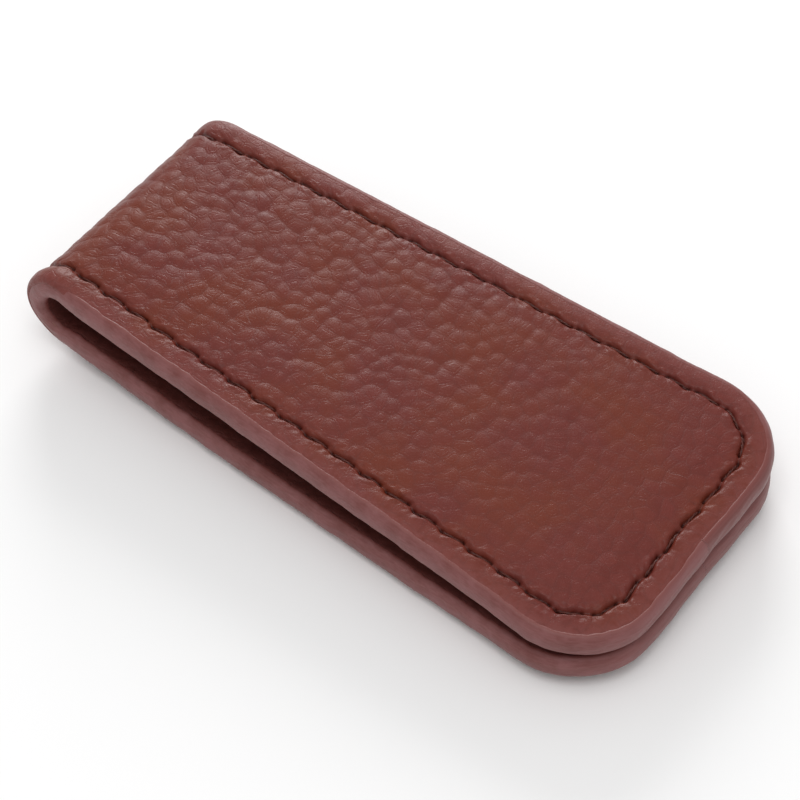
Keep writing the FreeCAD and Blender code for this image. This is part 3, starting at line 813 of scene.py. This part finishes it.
def paint(name, light, dark, leather_colour):
    """Edge paint in several brushed coats: a semi-gloss skin with soft waves and a few specks."""
    n = Nodes(name)
    strip = n.vector("strip")
    share = n.value("wall")
    cloud = n.noise(strip, 0.30, 3.5)
    streak = n.noise(n.stretched(strip, (0.9, 5.0, 1.0)), 1.0, 3.0)
    tone = n.math("ADD", n.math("MULTIPLY", cloud, 0.6), n.math("MULTIPLY", streak, 0.4), clamp=True)
    colour = n.mix(n.span(tone, 0.38, 0.60), dark, light)
    thin = n.math("ADD", share, n.math("MULTIPLY", n.span(cloud, 0.3, 0.7), 0.18))
    colour = n.mix(n.span(thin, 0.45, 0.10, 0.0, 1.0), colour, leather_colour)
    specks = n.span(n.noise(strip, 9.0, 1.0), 0.70, 0.76)
    colour = n.mix(n.math("MULTIPLY", specks, 0.4), colour, tuple(c * 0.6 for c in dark))
    ripple = n.math("ADD", n.noise(strip, 1.6, 2.0), n.math("MULTIPLY", n.noise(strip, 7.0, 2.0), 0.25))
    roughness = n.span(cloud, 0.3, 0.7, 0.40, 0.52)
    n.set(Base_Color=colour, Roughness=roughness, Normal=n.bump(ripple, 0.05))
    n.set(Specular_IOR_Level=0.35)
    return n.material


def waxed_thread(name, light, dark):
    """Bonded thread: three strands, with painted shade between them, and a waxed shine."""
    n = Nodes(name)
    strip = n.vector("strip")
    strand = n.value("wall")
    fibre = n.noise(n.stretched(strip, (9.0, 26.0, 1.0)), 1.0, 2.0)
    # Painted shade: darker in the grooves between the strands.
    colour = n.mix(n.span(strand, 0.1, 0.9), dark, light)
    colour = n.mix(n.span(fibre, 0.35, 0.7, 0.0, 0.35), colour, tuple(c * 1.5 for c in light))
    n.set(Base_Color=colour, Roughness=n.span(fibre, 0.3, 0.7, 0.38, 0.55), Normal=n.bump(fibre, 0.02))
    n.set(Specular_IOR_Level=0.25)
    return n.material


def hidden_stuff(name, light, dark, scale, roughness, metal=0.0, bump_mm=0.05):
    """What lies inside the strip: foam, bonded-leather board and filler, and plated magnets."""
    n = Nodes(name)
    place_at = n.add("ShaderNodeTexCoord").outputs["Object"]
    grain = n.noise(place_at, scale, 5.0, 0.65)
    fleck = n.cells(place_at, scale * 1.7)
    colour = n.mix(n.span(grain, 0.3, 0.7), dark, light)
    colour = n.mix(n.span(fleck, 0.12, 0.0, 0.0, 0.4), colour, tuple(c * 0.6 for c in dark))
    n.set(Base_Color=colour, Roughness=n.span(grain, 0.3, 0.7, roughness, roughness + 0.15))
    n.set(Metallic=metal, Normal=n.bump(n.math("ADD", grain, fleck), bump_mm))
    return n.material


outer_leather = leather(
    "outer_leather",
    light=(0.150, 0.026, 0.019),
    dark=(0.122, 0.020, 0.014),
    warm=(0.152, 0.027, 0.010),
    crease_shade_colour=(0.050, 0.008, 0.005),
    worn_colour=(0.185, 0.050, 0.044),
    roughness=0.33,
    wrinkle_mm=0.030,
)
# The lining is the same leather as the cover, given darker colours: painted shade for the gap that it faces.
lining_leather = leather(
    "lining_leather",
    light=(0.095, 0.020, 0.016),
    dark=(0.060, 0.013, 0.010),
    warm=(0.090, 0.018, 0.011),
    crease_shade_colour=(0.02, 0.005, 0.004),
    worn_colour=(0.120, 0.030, 0.025),
    roughness=0.50,
    wrinkle_mm=0.03,
)
edge_paint = paint("edge_paint", (0.230, 0.085, 0.083), (0.165, 0.048, 0.043), (0.180, 0.048, 0.041))
thread = waxed_thread("stitching_thread", (0.085, 0.017, 0.011), (0.025, 0.005, 0.003))

# ---------------------------------------------------------------- pieces

PARTS = ("lower", "fold", "upper")
COVER_INSETS = np.concatenate(
    (
        np.arange(0.26, 1.70, 0.14),
        np.arange(1.70, 2.9, 0.2),
        np.arange(2.9, 4.15, 0.105),
        np.arange(4.2, 6.0, 0.2),
    )
)
LINING_INSETS = np.concatenate((np.arange(0.26, 1.40, 0.19), np.arange(1.40, 6.0, 0.27)))
COVER_SPACING, LINING_SPACING, EDGE_SPACING = 0.225, 0.36, 0.24
COVER_STEPS, LINING_STEPS = 56, 34
NEEDLE_SEED, BOBBIN_SEED = 41, 51

STANDS_FOR = {"lower": ("lower",), "fold": ("fold_1",), "upper": ("fold_2", "upper")}


def mount(obj, part, layer):
    """Bakes a piece's transform and hides the CAD nodes of its layer, which it stands for."""
    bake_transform(obj)
    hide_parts(*("%s_%s" % (body, layer) for body in STANDS_FOR[part]))


def seams_of(part):
    """The stitches of one piece and their half lengths."""
    if part == "fold":
        found = fold_seam((1, 2))
        return found, [fold_radius * FOLD_STITCH_HALF] * 2
    leg, number = (-1, 0) if part == "lower" else (1, 3)
    found = [leg_seam(leg), *fold_seam((number,))]
    return found, [STITCH_HALF, *([fold_radius * FOLD_STITCH_HALF] * 2)]


for part in PARTS:
    cover = leather_shell(
        "cover_" + part,
        piece_columns(part, COVER_SPACING),
        COVER_INSETS,
        COVER_STEPS,
        cover_face,
        COVER_BACK,
        outer_leather,
        1,
    )
    mount(cover, part, "cover")
    lining = leather_shell(
        "lining_" + part,
        piece_columns(part, LINING_SPACING),
        LINING_INSETS,
        LINING_STEPS,
        lining_face,
        LINING_BACK,
        lining_leather,
        -1,
    )
    mount(lining, part, "lining")
    edge = edge_shell("edge_" + part, piece_columns(part, EDGE_SPACING), edge_paint)
    mount(edge, part, "edge_paint")
    seams, halves = seams_of(part)
    needle = thread_piece(
        "needle_thread_" + part,
        seams,
        OUTER_FACE,
        NEEDLE_SINK,
        NEEDLE_RADIUS,
        1,
        halves,
        thread,
        NEEDLE_SEED + PARTS.index(part),
    )
    mount(needle, part, "needle_thread")
    bobbin = thread_piece(
        "bobbin_thread_" + part,
        seams,
        INNER_FACE,
        BOBBIN_SINK,
        BOBBIN_RADIUS,
        -1,
        halves,
        thread,
        BOBBIN_SEED + PARTS.index(part),
    )
    mount(bobbin, part, "bobbin_thread")

HIDDEN = {
    "_padding": hidden_stuff("foam", (0.05, 0.045, 0.045), (0.02, 0.018, 0.018), 3000, 0.8),
    "_board": hidden_stuff("bonded_board", (0.42, 0.28, 0.17), (0.27, 0.17, 0.10), 900, 0.7),
    "_filler": hidden_stuff("bonded_filler", (0.38, 0.24, 0.14), (0.25, 0.15, 0.08), 1100, 0.75),
    "_left": hidden_stuff("nickel_left", (0.60, 0.59, 0.57), (0.48, 0.47, 0.45), 700, 0.25, 1.0, 0.003),
    "_right": hidden_stuff("nickel_right", (0.60, 0.59, 0.57), (0.48, 0.47, 0.45), 700, 0.25, 1.0, 0.003),
}
for name, node in frame["nodes"].items():
    for ending, material in HIDDEN.items():
        if name.endswith(ending):
            node.data.materials.clear()
            node.data.materials.append(material)

# ---------------------------------------------------------------- floor, light and camera

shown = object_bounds()
floor_z = shown[0].z

n = Nodes("pale_floor")
at = n.add("ShaderNodeTexCoord").outputs["Object"]
n.set(Base_Color=n.mix(n.noise(at, 9.0, 2.0), (0.94, 0.94, 0.94), (0.97, 0.97, 0.97)), Roughness=0.75)
bpy.ops.mesh.primitive_plane_add(size=6.0, location=(0, 0, floor_z))
floor = bpy.context.object
floor.name = "floor"
floor.data.materials.append(n.material)

world = bpy.data.worlds.new("studio")
bpy.context.scene.world = world
world.use_nodes = True
background = world.node_tree.nodes["Background"]
background.inputs["Color"].default_value = (1.0, 1.0, 1.0, 1)
background.inputs["Strength"].default_value = 0.60


def softbox(name, toward, distance, width, watts):
    """A square area light that looks at the clip from the direction toward."""
    lamp = bpy.data.lights.new(name, "AREA")
    lamp.size = width
    lamp.energy = watts
    obj = bpy.data.objects.new(name, lamp)
    direction = Vector(toward).normalized()
    obj.location = direction * distance
    obj.rotation_mode = "QUATERNION"
    obj.rotation_quaternion = direction.to_track_quat("Z", "Y")
    bpy.context.scene.collection.objects.link(obj)


softbox("back_light", (-0.55, 0.72, 0.38), 0.70, 0.30, 2.6)
softbox("top_light", (0.10, -0.15, 1.0), 0.70, 0.45, 1.6)

AZIMUTH, ELEVATION, ROLL = math.radians(39.06), math.radians(51.73), math.radians(-2.43)
TARGET = Vector((1.98, -2.05, 5.59)) * MM
DISTANCE = 0.27015
FOCAL_LENGTH_MM, SENSOR_WIDTH_MM = 110.46, 36.0
back = Vector(
    (
        math.sin(AZIMUTH) * math.cos(ELEVATION),
        -math.cos(AZIMUTH) * math.cos(ELEVATION),
        math.sin(ELEVATION),
    )
)
right = (-back).cross(Vector((0, 0, 1))).normalized()
up = right.cross(-back)
right, up = right * math.cos(ROLL) + up * math.sin(ROLL), up * math.cos(ROLL) - right * math.sin(ROLL)
camera = bpy.data.objects.new("camera", bpy.data.cameras.new("camera"))
camera.data.lens = FOCAL_LENGTH_MM
camera.data.sensor_width = SENSOR_WIDTH_MM
camera.data.clip_start, camera.data.clip_end = 0.01, 10.0
turned = Matrix((right, up, back)).transposed().to_4x4()
camera.matrix_world = Matrix.Translation(TARGET + back * DISTANCE) @ turned
bpy.context.scene.collection.objects.link(camera)
bpy.context.scene.camera = camera
bpy.context.scene.view_settings.view_transform = "Standard"
